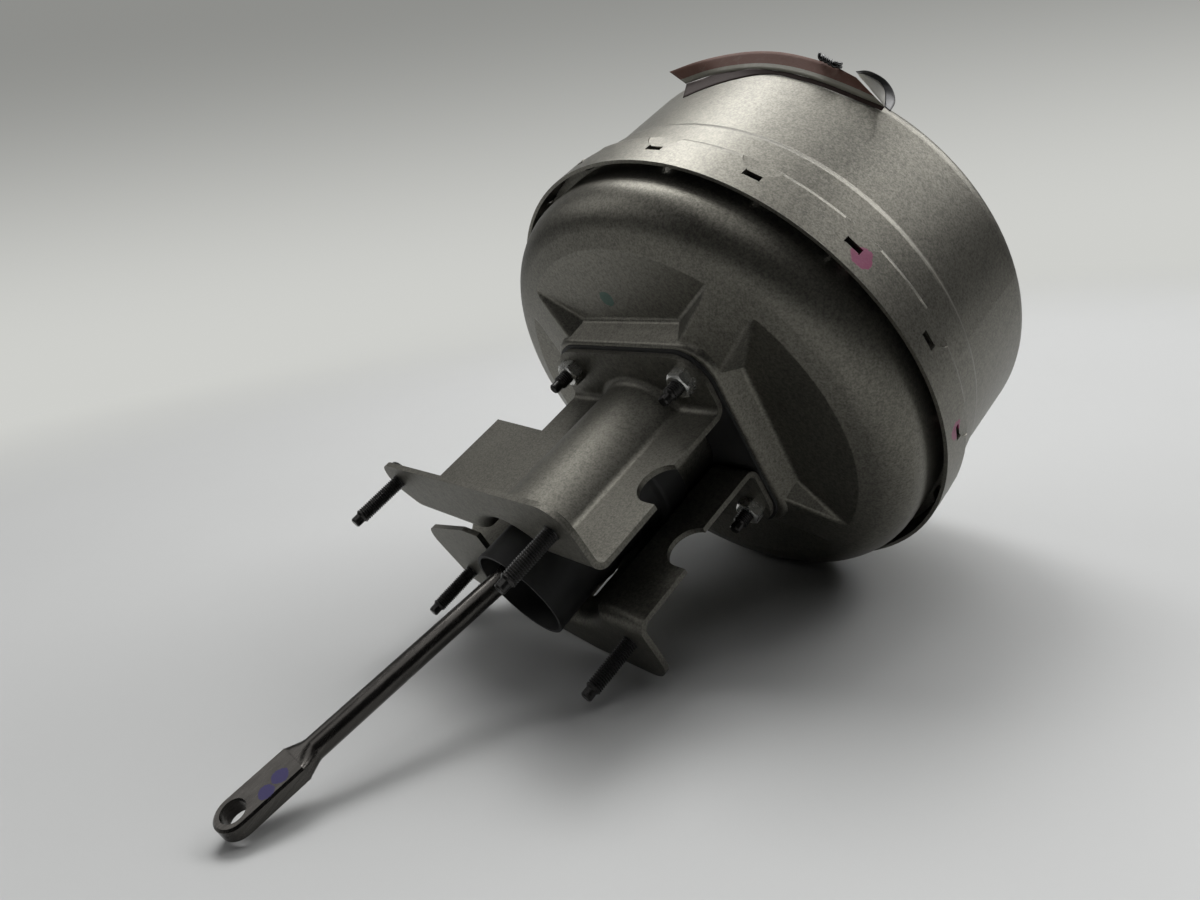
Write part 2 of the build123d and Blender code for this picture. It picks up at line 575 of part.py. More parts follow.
def valve_key():
    """Forked key through the valve body that limits the plunger's travel."""
    plate = Pos(3.0, KEY_Y, 0) * Box(50.0, KEY_T, 22.0)
    throat = Pos(-8.0, KEY_Y, 0) * Box(30.0, KEY_T + 1, 2 * KEY_THROAT)
    key = plate - throat - along_y(Pos(7.0, 0) * Circle(KEY_THROAT), KEY_Y - 5, KEY_Y + 5)
    return key & disc(BODY_R - 0.3, KEY_Y - 5, KEY_Y + 5)


def plunger():
    """Air valve plunger: seat disc, ball socket, key groove and nose."""
    waist = KEY_THROAT - 0.2
    rim = PLUNGER_REAR_Y + 3.0
    outside = turned([(0, PLUNGER_REAR_Y), (PLUNGER_RIM_R, PLUNGER_REAR_Y), (PLUNGER_RIM_R, rim),
                      (PLUNGER_R, rim), (PLUNGER_R, KEY_Y - 4.5), (waist, KEY_Y - 4.5), (waist, KEY_Y + 4.5),
                      (PLUNGER_R, KEY_Y + 4.5), (PLUNGER_R, DISC_REAR_Y - 6.1), (0, DISC_REAR_Y - 6.1)])
    mouth = turned([(0, PLUNGER_REAR_Y - 0.1), (BALL_R, PLUNGER_REAR_Y - 0.1),
                    (BALL_R - 1.1, BALL_Y - BALL_R / 2), (0, BALL_Y)])
    return outside - Pos(0, BALL_Y, 0) * Sphere(BALL_R + RUN) - mouth


def poppet():
    """Rubber poppet that closes on the plunger's rim and the valve body's seat."""
    bead = RETAINER_Y + 0.5
    sleeve = TAIL_BORE_R - 5.4
    return turned([(10.0, POPPET_Y), (TAIL_BORE_R - 3.5, POPPET_Y), (TAIL_BORE_R - 3.5, POPPET_Y - 3.0),
                   (sleeve, POPPET_Y - 3.5), (sleeve, bead + 3.5), (sleeve + 1.4, bead + 2.0),
                   (TAIL_BORE_R - 1.0, bead + 2.0), (TAIL_BORE_R - 1.0, bead), (12.0, bead),
                   (12.0, POPPET_Y - 3.0), (10.0, POPPET_Y - 3.0)])


def poppet_retainer():
    """Pressed cup that holds the poppet's bead in the tail."""
    outer = TAIL_BORE_R - 0.5
    return pressed([(10.4, RETAINER_Y), (outer, RETAINER_Y), (outer, RETAINER_Y - 8.0)], 0.9)


def silencer():
    """Open foam ring behind the filter, with a hole that the push rod swings in."""
    return ring(14.6, TAIL_BORE_R - 0.1, TAIL_END_Y + 1.0, TAIL_END_Y + 8.0)


def air_filter():
    """Felt ring in front of the silencer."""
    return ring(14.2, TAIL_BORE_R - 0.1, TAIL_END_Y + 8.2, RETAINER_Y - 8.2)


def reaction_disc():
    """Rubber disc that shares the pedal's force between plunger and valve body."""
    return disc(DISC_R, DISC_REAR_Y, DISC_REAR_Y + 5.9)


def output_rod():
    """Push rod to the master cylinder, with a head on the reaction disc."""
    head = DISC_REAR_Y + 6.0
    return turned([(0, head), (DISC_R - 0.6, head), (DISC_R, head + 0.6), (DISC_R, head + 6.7),
                   (DISC_R - 1.0, head + 7.7), (OUT_ROD_R, head + 7.7), (OUT_ROD_R, 6.0),
                   (OUT_ROD_R - 1.0, 7.0), (3.1, 7.0), (3.1, -8.0), (0, -8.0)])


def adjusting_screw():
    """Screw in the output rod's end, with its domed hexagon head."""
    shank = disc(3.0, -7.0, 8.0)
    head = along_y(RegularPolygon(4.5, 6, major_radius=False), 8.0, 12.0)
    dome = turned([(0, 7.5), (5.4, 7.5), (5.0, 11.4), (2.6, 12.6), (0, 13.0)])
    return shank + (head & dome)


def output_rod_clip():
    """Spring clip on the nose that keeps the output rod's head in."""
    skirt = NOSE_R + 0.5
    return pressed([(DISC_R - 2.0, NOSE_Y + 0.5), (skirt, NOSE_Y + 0.5), (skirt, NOSE_Y - 5.0)], 0.8)


def return_spring():
    """Main return spring between the front shell's plate and the front piston plate."""
    rear = FRONT_PLATE_Y + PLATE_T / 2 + 0.05
    return coil(NOSE_R + 4.4, 2.0, rear, -SHELL_T - FRONT_PLATE_T - SEATED, 4.5)


def plunger_spring():
    """Light spring that pushes the plunger's rim back onto the poppet."""
    return coil(SPRING_BORE_R - 1.4, 0.7, PLUNGER_REAR_Y + 3.0 + SEATED, SPRING_FRONT_Y - SEATED, 3.5)


def poppet_spring():
    """Light spring that holds the poppet forward."""
    return coil(11.35, 0.5, RETAINER_Y + 0.5, POPPET_Y - 3.0 - SEATED, 3.0)


# ---- seals and small outer pieces --------------------------------------------
def rear_seal():
    """Lip seal in the neck on the valve body's tail."""
    run = TAIL_R + RUN
    outer = NECK_R - SHELL_T - 0.1
    rear = NECK_END_Y + SHELL_T / 2 + 0.1
    return turned([(run, rear), (outer - 2.1, rear), (outer, rear + 2.2), (outer, rear + 10.0),
                   (outer - 1.7, rear + 10.0), (outer - 1.7, rear + 4.0), (run + 1.34, rear + 4.0),
                   (run, rear + 7.0)])


def rear_bearing():
    """Plastic bearing ring in front of the rear seal."""
    rear = NECK_END_Y + SHELL_T / 2 + 10.2
    return ring(TAIL_R + RUN + 0.04, NECK_R - SHELL_T - 0.1, rear, rear + 4.0)


def front_seal():
    """Seal in the front cup that the output rod slides through."""
    outer = SEAL_CUP_R - 0.1
    run = OUT_ROD_R + RUN
    front = -PILOT_DEPTH - 3.2
    return turned([(run, -CUP_DEPTH), (outer, -CUP_DEPTH), (outer, front), (outer - 3.0, front),
                   (outer - 4.0, front - 1.8), (run + 1.9, front - 1.8), (run, front)])


def front_seal_ring():
    """Pressed ring that keeps the front seal in its cup."""
    return ring(SEAL_CUP_R - 7.0, SEAL_CUP_R - 0.1, -PILOT_DEPTH - 3.18, -PILOT_DEPTH - 2.6)


def grommet():
    """Rubber grommet of the check valve in the front shell."""
    front = FRONT_FACE_Y
    rear = FRONT_FACE_Y - SHELL_T
    bore = GROMMET_NECK_R - 3.0
    neck = GROMMET_NECK_R - 0.1
    shape = turned([(bore, rear - 3.0), (bore + 5.5, rear - 3.0), (bore + 6.5, rear - SEATED),
                    (neck, rear - SEATED), (neck, front + SEATED), (bore + 7.0, front + SEATED),
                    (bore + 7.0, front + 2.5), (bore + 5.5, front + 4.0), (bore, front + 4.0)])
    return Pos(CHECK_VALVE_AT[0], 0, CHECK_VALVE_AT[1]) * shape


def check_valve():
    """Vacuum check valve pressed in its grommet, with a bent hose nipple."""
    front = FRONT_FACE_Y
    stem = GROMMET_NECK_R - 3.05
    body = turned([(0, front - 9.0), (stem - 0.6, front - 9.0), (stem + 0.4, front - 6.4),
                   (stem, front - 4.8), (stem, front + 4.1), (10.5, front + 4.1), (10.5, front + 12.0),
                   (4.5, front + 15.0), (0, front + 15.0)])
    neck = NIPPLE_R - 0.5
    nipple = turned([(0, 0), (5.4, 0), (5.4, 11.0), (neck, 11.0), (neck, 16.5), (NIPPLE_R, 17.5),
                     (NIPPLE_R, 22.5), (NIPPLE_R - 1.0, 26.0), (0, 26.0)])
    outlet = disc(2.3, 0.0, 27.0)
    level = Pos(0, front + 9.6, 0)
    valve = body + level * nipple.rotate(Axis.Z, 90.0) - level * outlet.rotate(Axis.Z, 90.0)
    return Pos(CHECK_VALVE_AT[0], 0, CHECK_VALVE_AT[1]) * (valve - disc(2.6, front - 10.0, front + 9.0))


def boot():
    """Rubber boot over the neck and tail, with shallow folds and an open rolled end."""
    mouth = NECK_R + BOOT_T / 2 + 0.2
    top = NECK_END_Y - 12.0
    pitch = (top - BOOT_END_Y) / (2 * BOOT_FOLDS + 3)
    points = [(mouth, NECK_END_Y + 12.0), (mouth, NECK_END_Y - 1.8), (BOOT_R + 2.0, NECK_END_Y - 3.8)]
    for i in range(2 * BOOT_FOLDS + 1):
        fold = BOOT_FOLD if i % 2 else -0.2
        points.append((BOOT_R + fold, top - i * pitch))
    points.append((BOOT_R, BOOT_END_Y))
    bends = [1.5, 2.0] + [3.0] * (2 * BOOT_FOLDS + 1)
    end = ring(BOOT_R - BOOT_T / 2, BOOT_RING_R, BOOT_END_Y, BOOT_END_Y + 2.6)
    return pressed(points, BOOT_T, bends) + end


# ---- push rod ----------------------------------------------------------------
def push_rod():
    """Pedal push rod: ball, neck, long shank and the flattened eye, swung to its rest angle."""
    ball = Vector(0, BALL_Y, 0)
    along = Vector(*EYE_AT) - ball
    length = along.length
    along = along.normalized()
    level = (Vector(0, 0, 1) - along * along.Z).normalized()
    pin = level.rotate(Axis((0, 0, 0), along), -EYE_ROLL)
    frame = Plane(origin=ball, x_dir=along, z_dir=pin)
    shank_end = length - 36.0
    flat_start = length - 28.0
    profile = Polyline((3.0, 0), (3.0, 3.6), (12.0, 3.6), (18.0, ROD_R), (shank_end, ROD_R), (shank_end, 0),
                       close=True)
    shape = Sphere(BALL_R) + revolve(make_face(profile), axis=Axis.X)
    across = Plane(origin=(shank_end, 0, 0), x_dir=(0, 1, 0), z_dir=(1, 0, 0))
    flat_end = across.offset(8.0) * RectangleRounded(EYE_WIDTH, EYE_THICK, 2.0)
    shoulder = loft([across * Circle(ROD_R), flat_end])
    flat = Pos((flat_start + length) / 2, 0) * Rectangle(length - flat_start, EYE_WIDTH)
    flat += Pos(length, 0) * Circle(EYE_WIDTH / 2)
    eye = extrude(flat, amount=EYE_THICK / 2, both=True)
    eye = chamfer([e for e in eye.edges() if abs(abs(e.center().Z) - EYE_THICK / 2) < 0.01
                   and e.center().X > flat_start + 0.5], 1.0)
    eye -= Pos(length, 0, 0) * Cylinder(EYE_HOLE_R, EYE_THICK + 2)
    return frame.location * (shape + shoulder + eye)


# ---- build -------------------------------------------------------------------
PARTS = {
    "front_shell": front_shell,
    "rear_shell": rear_shell,
    "front_plate": front_plate,
    "rear_plate": rear_plate,
    "gasket": gasket,
    "bracket_upper": bracket_upper,
    "bracket_lower": bracket_lower,
    "divider": divider,
    "divider_seal": divider_seal,
    "rear_piston_plate": rear_piston_plate,
    "front_piston_plate": front_piston_plate,
    "rear_diaphragm": rear_diaphragm,
    "front_diaphragm": front_diaphragm,
    "valve_body": valve_body,
    "valve_key": valve_key,
    "plunger": plunger,
    "plunger_spring": plunger_spring,
    "poppet": poppet,
    "poppet_spring": poppet_spring,
    "poppet_retainer": poppet_retainer,
    "air_filter": air_filter,
    "silencer": silencer,
    "reaction_disc": reaction_disc,
    "output_rod": output_rod,
    "output_rod_clip": output_rod_clip,
    "adjusting_screw": adjusting_screw,
    "return_spring": return_spring,
    "rear_seal": rear_seal,
    "rear_bearing": rear_bearing,
    "front_seal": front_seal,
    "front_seal_ring": front_seal_ring,
    "check_valve": check_valve,
    "grommet": grommet,
    "boot": boot,
    "push_rod": push_rod,
}


def main():
    """Build every piece and write one STEP file for each."""
    os.makedirs("parts", exist_ok=True)
    pieces = {name: make() for name, make in PARTS.items()}
    front_head = -SHELL_T - FRONT_PLATE_T - STUD_HEAD_T
    rear_head = SEAT_Y + SHELL_T + REAR_PLATE_T + STUD_HEAD_T
    firewall_head = FIREWALL_Y + BRACKET_T + STUD_HEAD_T
    for i, at in enumerate(MASTER_STUDS):
        pieces[f"master_stud_{i}"] = stud(at, STUD_HEAD_R, front_head, 0.0, MASTER_STUD_OUT)
    for i, at in enumerate(BOOSTER_STUDS):
        tip = SEAT_FLANGE_Y - BOOSTER_STUD_OUT
        pieces[f"booster_stud_{i}"] = stud(at, STUD_HEAD_R, rear_head, SEAT_Y, tip)
        pieces[f"booster_nut_{i}"] = hex_nut(at, SEAT_FLANGE_Y, 13.0, 6.5)
    for i, at in enumerate(FIREWALL_STUDS):
        tip = FIREWALL_Y - FIREWALL_STUD_OUT
        pieces[f"firewall_stud_{i}"] = stud(at, FIREWALL_HEAD_R, firewall_head, FIREWALL_Y, tip)
    for name, piece in pieces.items():
        export_step(piece, f"parts/{name}.step")


main()
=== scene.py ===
"""Looks of a tandem vacuum brake booster on its firewall bracket.

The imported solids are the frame. Sheet metal, rubber and resin keep their solids
and get their finishes here. Studs are replaced by threaded ones, and the paper
tag, its wire and the paint dabs are added. Sizes are in metres, in the frame of
the solids: +Y forward, +Z up, origin on the axis at the master cylinder's seat.
"""

import logging
import math
from dataclasses import dataclass
from enum import Enum
from typing import Any, Iterable, Sequence, Union

import bpy
from mathutils import Matrix, Vector


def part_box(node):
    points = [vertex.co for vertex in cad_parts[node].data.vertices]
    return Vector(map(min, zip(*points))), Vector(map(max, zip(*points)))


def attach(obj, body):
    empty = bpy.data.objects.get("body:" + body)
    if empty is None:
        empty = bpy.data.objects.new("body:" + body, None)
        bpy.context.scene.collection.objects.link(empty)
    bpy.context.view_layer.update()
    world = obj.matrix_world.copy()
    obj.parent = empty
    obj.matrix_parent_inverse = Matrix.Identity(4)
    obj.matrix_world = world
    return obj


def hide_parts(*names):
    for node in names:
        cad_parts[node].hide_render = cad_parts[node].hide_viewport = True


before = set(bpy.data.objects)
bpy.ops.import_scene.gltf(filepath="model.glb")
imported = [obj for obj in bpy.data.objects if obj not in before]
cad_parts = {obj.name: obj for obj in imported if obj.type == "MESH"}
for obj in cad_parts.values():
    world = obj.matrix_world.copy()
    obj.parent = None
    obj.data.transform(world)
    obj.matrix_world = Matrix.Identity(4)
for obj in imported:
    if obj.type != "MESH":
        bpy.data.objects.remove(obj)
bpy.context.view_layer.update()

LOG = logging.getLogger("booster")
Value = Union[float, "Signal"]
Colour = tuple[float, float, float]
Point = tuple[float, float, float]


# ---- shader expressions --------------------------------------------------------
class Signal:
    """A shader socket that Python operators combine through Math nodes."""

    def __init__(self, graph: "Graph", socket: bpy.types.NodeSocket) -> None:
        """Wrap a socket.

        Args:
            graph: The node graph that the socket belongs to.
            socket: The output socket.
        """
        self.graph = graph
        self.socket = socket

    def _math(self, operation: str, *values: Value) -> "Signal":
        """Add a Math node.

        Args:
            operation: The Math node's operation.
            values: Its inputs, in order.

        Returns:
            The node's result.
        """
        return self.graph.node("ShaderNodeMath", {"operation": operation}, dict(enumerate(values)))

    def __add__(self, other: Value) -> "Signal":
        """Sum of two signals."""
        return self._math("ADD", self, other)

    __radd__ = __add__

    def __sub__(self, other: Value) -> "Signal":
        """Difference of two signals."""
        return self._math("SUBTRACT", self, other)

    def __rsub__(self, other: Value) -> "Signal":
        """Difference, the other way round."""
        return self._math("SUBTRACT", other, self)

    def __mul__(self, other: Value) -> "Signal":
        """Product of two signals."""
        return self._math("MULTIPLY", self, other)

    __rmul__ = __mul__

    def __truediv__(self, other: Value) -> "Signal":
        """Quotient of two signals."""
        return self._math("DIVIDE", self, other)

    def size(self) -> "Signal":
        """The signal without its sign."""
        return self._math("ABSOLUTE", self)

    def least(self, other: Value) -> "Signal":
        """The smaller of two signals."""
        return self._math("MINIMUM", self, other)

    def between(self, low: float, high: float) -> "Signal":
        """Rise smoothly from 0 at one value to 1 at the other.

        Args:
            low: Where the result is 0.
            high: Where the result is 1, which may be the smaller one.

        Returns:
            The eased signal.
        """
        settings = {"interpolation_type": "SMOOTHSTEP", "clamp": True}
        if low <= high:
            return self.graph.node("ShaderNodeMapRange", settings,
                                   {"Value": self, "From Min": low, "From Max": high})
        return 1.0 - self.between(high, low)


class Graph:
    """Node graph of one material."""

    def __init__(self, name: str) -> None:
        """Start an empty graph in a new material."""
        self.material = bpy.data.materials.new(name)
        self.material.use_nodes = True
        self.tree = self.material.node_tree
        self.tree.nodes.clear()
        self._place: Signal | None = None

    def node(self, kind: str, settings: dict[str, Any] | None = None,
             inputs: dict[Any, Any] | None = None, output: Any = 0) -> Signal:
        """Add a node.

        Args:
            kind: The node's type.
            settings: Properties, which are set first.
            inputs: Values or links of its sockets, by name or number.
            output: Name or number of the output to return.

        Returns:
            That output.
        """
        node = self.tree.nodes.new(kind)
        for key, setting in (settings or {}).items():
            setattr(node, key, setting)
        for key, value in (inputs or {}).items():
            if isinstance(value, Signal):
                self.tree.links.new(value.socket, node.inputs[key])
            else:
                node.inputs[key].default_value = value
        return Signal(self, node.outputs[output])

    def place(self) -> Signal:
        """Place on the object, in metres."""
        if self._place is None:
            self._place = self.node("ShaderNodeTexCoord", output="Object")
        return self._place

    def axes(self) -> tuple[Signal, Signal, Signal]:
        """The three coordinates of the place, as separate signals."""
        split = self.node("ShaderNodeSeparateXYZ", None, {0: self.place()})
        nodes = split.socket.node.outputs
        return Signal(self, nodes[0]), Signal(self, nodes[1]), Signal(self, nodes[2])

    def stretched(self, scale: Point, tilt: float = 0.0) -> Signal:
        """The place, scaled differently along each axis.

        Args:
            scale: Scale along X, Y and Z.
            tilt: Turn about X before the scaling, in degrees.

        Returns:
            The scaled place.
        """
        place = self.place()
        if tilt:
            place = self.node("ShaderNodeVectorRotate", {"rotation_type": "X_AXIS"},
                              {"Vector": place, "Angle": math.radians(tilt)})
        return self.node("ShaderNodeVectorMath", {"operation": "MULTIPLY"}, {0: place, 1: scale})

    def noise(self, scale: float, detail: float = 3.0, roughness: float = 0.55,
              place: Signal | None = None, twist: float = 0.0) -> Signal:
        """Cloudy noise from 0 to 1.

        Args:
            scale: Clouds per metre.
            detail: Octaves of finer clouds.
            roughness: Strength of the finer clouds.
            place: Where it is read, or the object's own place.
            twist: How far the clouds are pulled about.

        Returns:
            The noise value.
        """
        return self.node("ShaderNodeTexNoise", None,
                         {"Vector": place or self.place(), "Scale": scale, "Detail": detail,
                          "Roughness": roughness, "Distortion": twist})

    def cells(self, scale: float) -> Signal:
        """Distance in a scatter of cells."""
        return self.node("ShaderNodeTexVoronoi", None,
                         {"Vector": self.place(), "Scale": scale}, "Distance")

    def mix(self, share: Value, first: Colour | Signal, second: Colour | Signal) -> Signal:
        """Blend two colours.

        Args:
            share: How much of the second colour.
            first: A colour or a colour signal.
            second: A colour or a colour signal.

        Returns:
            The blended colour.
        """
        node = self.tree.nodes.new("ShaderNodeMix")
        node.data_type = "RGBA"
        for key, value in ((0, share), (6, first), (7, second)):
            if isinstance(value, Signal):
                self.tree.links.new(value.socket, node.inputs[key])
            elif key == 0:
                node.inputs[key].default_value = value
            else:
                node.inputs[key].default_value = (*value, 1.0)
        return Signal(self, node.outputs[2])

    def bump(self, height: Signal, depth: float, under: Signal | None = None) -> Signal:
        """Turn a height into a normal.

        Args:
            height: Height from 0 to 1.
            depth: Height of 1, in metres.
            under: A normal that this one lies on.

        Returns:
            The normal.
        """
        inputs: dict[str, Any] = {"Height": height, "Distance": depth, "Strength": 1.0}
        if under is not None:
            inputs["Normal"] = under
        return self.node("ShaderNodeBump", None, inputs)

    def spot(self, at: Point, radius: float, ragged: float = 0.35) -> Signal:
        """A hand-dabbed paint spot.

        Args:
            at: Its middle.
            radius: Its radius.
            ragged: How uneven its edge is.

        Returns:
            1 inside the spot and 0 outside.
        """
        away = self.node("ShaderNodeVectorMath", {"operation": "DISTANCE"},
                         {0: self.place(), 1: at}, "Value")
        wobble = self.noise(1.6 / radius, 4.0, 0.65)
        return (away / radius + (wobble - 0.5) * 2.0 * ragged).between(1.06, 0.94)

    def surface(self, colour: Signal, roughness: Value, metallic: Value,
                normal: Signal) -> bpy.types.Material:
        """Close the graph with a Principled shader.

        Args:
            colour: Base colour.
            roughness: Roughness.
            metallic: Metallic share.
            normal: Bumped normal.

        Returns:
            The finished material.
        """
        inputs = {"Base Color": colour, "Roughness": roughness, "Metallic": metallic, "Normal": normal}
        return self.close(self.node("ShaderNodeBsdfPrincipled", None, inputs))

    def close(self, shader: Signal) -> bpy.types.Material:
        """Link a shader to the material's output."""
        out = self.tree.nodes.new("ShaderNodeOutputMaterial")
        self.tree.links.new(shader.socket, out.inputs["Surface"])
        return self.material


# ---- finishes -------------------------------------------------------------------
@dataclass(frozen=True)
class Dab:
    """A dab of paint on a surface."""

    at: Point
    radius: float
    colour: Colour


@dataclass(frozen=True)
class GrainedZinc:
    """Satin grey zinc coat with a fine speckled grain, scuffs and handling marks."""

    name: str
    tone: Colour
    dabs: tuple[Dab, ...] = ()
    step_line_at: float | None = None
    roughness: float = 0.41
    metallic: float = 0.86

    def _step_line(self, g: Graph) -> Signal:
        """Thin broken line painted lighter along a step of the wall."""
        _, y, _ = g.axes()
        line = (y - self.step_line_at).size().between(0.0007, 0.0002)
        broken = g.noise(26.0, 3.0).between(0.36, 0.52)
        return line * broken * 0.5

    def material(self) -> bpy.types.Material:
        """Build the coat's material."""
        g = Graph(self.name)
        grain = g.noise(1000.0, 2.0, 0.6)
        mottle = g.noise(420.0, 4.0, 0.6)
        cloud = g.noise(15.0, 4.0, 0.55, twist=0.6)
        scuff = g.noise(1.0, 5.0, 0.7, g.stretched((34.0, 160.0, 34.0)))
        scratch = (scuff - 0.5).size().between(0.010, 0.0) * g.noise(23.0).between(0.58, 0.68)
        pits = g.cells(240.0).between(0.10, 0.05) * g.noise(190.0, 2.0).between(0.60, 0.66)
        light = 0.75 * (grain - 0.5) + 0.45 * (mottle - 0.5) + 0.25 * (cloud - 0.5) + 0.5
        coat = g.mix(light.between(0.24, 0.76), tuple(0.60 * c for c in self.tone),
                     tuple(1.36 * c for c in self.tone))
        coat = g.mix(scratch * 0.35, coat, tuple(1.9 * c for c in self.tone))
        # A thin, broken, lighter line along the wall's step.
        if self.step_line_at is not None:
            coat = g.mix(self._step_line(g), coat, tuple(2.1 * c for c in self.tone))
        grime = g.noise(30.0, 6.0, 0.7).between(0.60, 0.80) * 0.22
        coat = g.mix((grime + 0.8 * pits).least(1.0), coat, tuple(0.40 * c for c in self.tone))
        rough = self.roughness + 0.16 * (grain - 0.5) + 0.10 * (cloud - 0.5)
        rough = rough - 0.10 * scratch + 0.12 * grime
        metal: Value = self.metallic - 0.3 * grime
        for dab in self.dabs:
            spot = g.spot(dab.at, dab.radius)
            coat = g.mix(spot * 0.86, coat, dab.colour)
            rough = rough * (1.0 - spot) + 0.40 * spot
            metal = metal * (1.0 - spot)
        normal = g.bump(0.6 * grain + 0.4 * mottle, 0.00008)
        normal = g.bump(cloud, 0.0004, normal)
        return g.surface(coat, rough, metal, normal)


@dataclass(frozen=True)
class BarSteel:
    """Drawn steel with faint streaks along its length."""

    name: str
    tone: Colour
    roughness: float = 0.20
    tilt: float = 0.0
    dabs: tuple[Dab, ...] = ()

    def material(self) -> bpy.types.Material:
        """Build the steel's material."""
        g = Graph(self.name)
        fine = g.noise(1.0, 3.0, 0.6, g.stretched((2400.0, 45.0, 2400.0), self.tilt))
        streak = g.noise(1.0, 4.0, 0.6, g.stretched((420.0, 12.0, 420.0), self.tilt))
        stain = g.noise(55.0, 5.0, 0.6).between(0.56, 0.76)
        coat = g.mix(streak.between(0.25, 0.75), tuple(0.80 * c for c in self.tone),
                     tuple(1.18 * c for c in self.tone))
        coat = g.mix(stain * 0.25, coat, tuple(0.5 * c for c in self.tone))
        rough = self.roughness + 0.10 * (fine - 0.5) + 0.08 * (streak - 0.5) + 0.10 * stain
        metal: Value = 0.97 - 0.15 * stain
        for dab in self.dabs:
            spot = g.spot(dab.at, dab.radius)
            coat = g.mix(spot * 0.94, coat, dab.colour)
            rough = rough * (1.0 - spot) + 0.4 * spot
            metal = metal * (1.0 - spot)
        return g.surface(coat, rough, metal, g.bump(0.6 * fine + 0.4 * streak, 0.00001))


@dataclass(frozen=True)
class BlackOxide:
    """Black phosphated steel with lighter noise patches, partly rubbed wear and partly painted highlight of
    the thread crests.
    """

    name: str
    tone: Colour = (0.026, 0.025, 0.025)

    def material(self) -> bpy.types.Material:
        """Build the coat's material."""
        g = Graph(self.name)
        grain = g.noise(1500.0, 3.0, 0.6)
        cloud = g.noise(140.0, 4.0, 0.6)
        # Lighter patches by noise: rubbed wear and painted highlight of the crests.
        wear_and_highlight = cloud.between(0.58, 0.74)
        coat = g.mix(0.3 * grain + 0.4 * wear_and_highlight, self.tone, (0.16, 0.155, 0.145))
        rough = 0.30 + 0.2 * (grain - 0.5) - 0.06 * wear_and_highlight
        return g.surface(coat, rough, 0.85, g.bump(grain, 0.00002))


@dataclass(frozen=True)
class BrightZinc:
    """Bright zinc plating with a fine turned grain."""

    name: str
    tone: Colour = (0.56, 0.56, 0.54)
    roughness: float = 0.28

    def material(self) -> bpy.types.Material:
        """Build the plating's material."""
        g = Graph(self.name)
        grain = g.noise(1900.0, 3.0, 0.6)
        cloud = g.noise(170.0, 5.0, 0.6)
        dull = cloud.between(0.48, 0.70)
        coat = g.mix(dull, self.tone, tuple(0.55 * c for c in self.tone))
        rough = self.roughness + 0.24 * dull + 0.12 * (grain - 0.5)
        return g.surface(coat, rough, 0.9, g.bump(grain, 0.00002))


@dataclass(frozen=True)
class BlackRubber:
    """Matt moulded rubber with a dusty bloom."""

    name: str
    tone: Colour = (0.014, 0.014, 0.014)

    def material(self) -> bpy.types.Material:
        """Build the rubber's material."""
        g = Graph(self.name)
        grain = g.noise(1300.0, 3.0, 0.6)
        dust = g.noise(75.0, 6.0, 0.68).between(0.42, 0.74)
        coat = g.mix(dust * 0.5, self.tone, (0.055, 0.053, 0.05))
        rough = 0.55 + 0.22 * dust + 0.1 * (grain - 0.5)
        return g.surface(coat, rough, 0.0, g.bump(grain, 0.00005))


@dataclass(frozen=True)
class MouldedResin:
    """Moulded glass-filled resin with faint flow lines."""

    name: str
    tone: Colour = (0.03, 0.03, 0.032)

    def material(self) -> bpy.types.Material:
        """Build the resin's material."""
        g = Graph(self.name)
        grain = g.noise(900.0, 3.0, 0.5)
        flow = g.noise(1.0, 4.0, 0.6, g.stretched((90.0, 25.0, 90.0)), 1.2)
        coat = g.mix(flow.between(0.3, 0.7), self.tone, tuple(1.7 * c for c in self.tone))
        rough = 0.4 + 0.14 * (flow - 0.5) + 0.1 * (grain - 0.5)
        return g.surface(coat, rough, 0.0, g.bump(grain, 0.00004))


@dataclass(frozen=True)
class Felt:
    """Grey felt or open foam."""

    name: str
    tone: Colour = (0.10, 0.10, 0.095)

    def material(self) -> bpy.types.Material:
        """Build the felt's material."""
        g = Graph(self.name)
        pores = g.cells(900.0)
        fibre = g.noise(1.0, 4.0, 0.7, g.stretched((1500.0, 500.0, 1100.0)), 1.5)
        coat = g.mix(fibre, tuple(0.45 * c for c in self.tone), tuple(1.5 * c for c in self.tone))
        return g.surface(coat, 0.9 + 0.08 * (fibre - 0.5), 0.0, g.bump(pores * fibre, 0.0004))


@dataclass(frozen=True)
class Paper:
    """Thin paper with fibres, creases and a worn face."""

    name: str
    tone: Colour
    worn_tone: Colour
    roughness: float = 0.55

    def material(self) -> bpy.types.Material:
        """Build the paper's material."""
        g = Graph(self.name)
        fibre = g.noise(700.0, 5.0, 0.7)
        crease = g.noise(48.0, 5.0, 0.6, twist=0.8)
        worn = g.noise(150.0, 5.0, 0.7).between(0.50, 0.72)
        coat = g.mix(worn * 0.6, self.tone, self.worn_tone)
        coat = g.mix(0.30 * fibre, coat, tuple(0.55 * c for c in self.tone))
        return g.surface(coat, self.roughness + 0.2 * (fibre - 0.5), 0.0,
                         g.bump(0.5 * fibre + 0.5 * crease, 0.00015))


# ---- mesh helpers ----------------------------------------------------------------
def mesh_piece(name: str, points: Iterable[Point], faces: Iterable[Sequence[int]],
               material: bpy.types.Material, smooth: bool = True) -> bpy.types.Object:
    """Make an object from points and faces.

    Args:
        name: The piece's name.
        points: Its vertices, in metres.
        faces: Vertex numbers of each face.
        material: Its material.
        smooth: Whether its faces shade smoothly.

    Returns:
        The new object.
    """
    mesh = bpy.data.meshes.new(name)
    mesh.from_pydata([tuple(p) for p in points], [], [tuple(f) for f in faces])
    mesh.validate()
    mesh.materials.append(material)
    piece = bpy.data.objects.new(name, mesh)
    bpy.context.scene.collection.objects.link(piece)
    for face in mesh.polygons:
        face.use_smooth = smooth
    return piece


